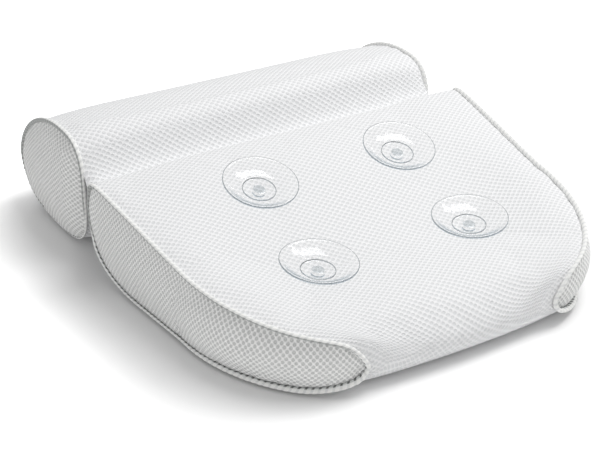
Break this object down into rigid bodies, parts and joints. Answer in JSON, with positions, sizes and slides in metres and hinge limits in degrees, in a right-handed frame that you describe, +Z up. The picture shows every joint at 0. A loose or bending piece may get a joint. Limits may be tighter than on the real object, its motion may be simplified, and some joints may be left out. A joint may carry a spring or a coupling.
{
  "type": "bath pillow",
  "caption": "Padded mesh bath pillow: a wedge-shaped shoulder pad with clear suction cups on its back, and a neck roll joined to it along a fold.",
  "frame": {"origin": "middle of the box around the object, on the surface it lies on", "axes": "+X along the neck roll, +Y from the pad's free front edge to the roll, +Z up, out of the suction-cup side"},
  "size_m": [0.3468, 0.4097, 0.103],
  "materials": {
    "air_mesh": "open white air mesh",
    "overlock": "overlocked thread",
    "foam": "open-cell foam",
    "clear_pvc": "clear gloss",
    "washer": "satin"
  },
  "bodies": {
    "pad": {"pad_wrap": "air_mesh", "pad_foam": "foam", "pad_left_gusset": "air_mesh", "pad_right_gusset": "air_mesh", "pad_left_seam": "overlock", "pad_right_seam": "overlock", "crease_pad_flap": "air_mesh", "crease_bead": "overlock", "washer_back_left": "washer", "washer_back_right": "washer", "washer_front_left": "washer", "washer_front_right": "washer"},
    "roll": {"roll_wrap": "air_mesh", "roll_foam": "foam", "roll_left_end": "air_mesh", "roll_right_end": "air_mesh", "roll_left_seam": "overlock", "roll_right_seam": "overlock", "crease_roll_flap": "air_mesh"},
    "cup_back_left": {"cup_back_left": "clear_pvc"},
    "cup_back_right": {"cup_back_right": "clear_pvc"},
    "cup_front_left": {"cup_front_left": "clear_pvc"},
    "cup_front_right": {"cup_front_right": "clear_pvc"}
  },
  "joints": [
    {"name": "roll_fold", "type": "hinge", "parent": "pad", "child": "roll", "pos_m": [0, 0.06115, 0.07], "axis": [1, 0, 0], "range_deg": [-30, 90]},
    {"name": "cup_back_left_swivel", "type": "hinge", "parent": "pad", "child": "cup_back_left", "pos_m": [-0.063, -0.02335, 0.07302], "axis": [0.0072, -0.2969, 0.9549], "continuous": true},
    {"name": "cup_back_right_swivel", "type": "hinge", "parent": "pad", "child": "cup_back_right", "pos_m": [0.063, -0.02335, 0.07302], "axis": [-0.0072, -0.2969, 0.9549], "continuous": true},
    {"name": "cup_front_left_swivel", "type": "hinge", "parent": "pad", "child": "cup_front_left", "pos_m": [-0.06725, -0.11385, 0.04792], "axis": [0.0456, -0.1106, 0.9928], "continuous": true},
    {"name": "cup_front_right_swivel", "type": "hinge", "parent": "pad", "child": "cup_front_right", "pos_m": [0.06725, -0.11385, 0.04792], "axis": [-0.0456, -0.1106, 0.9928], "continuous": true}
  ]
}
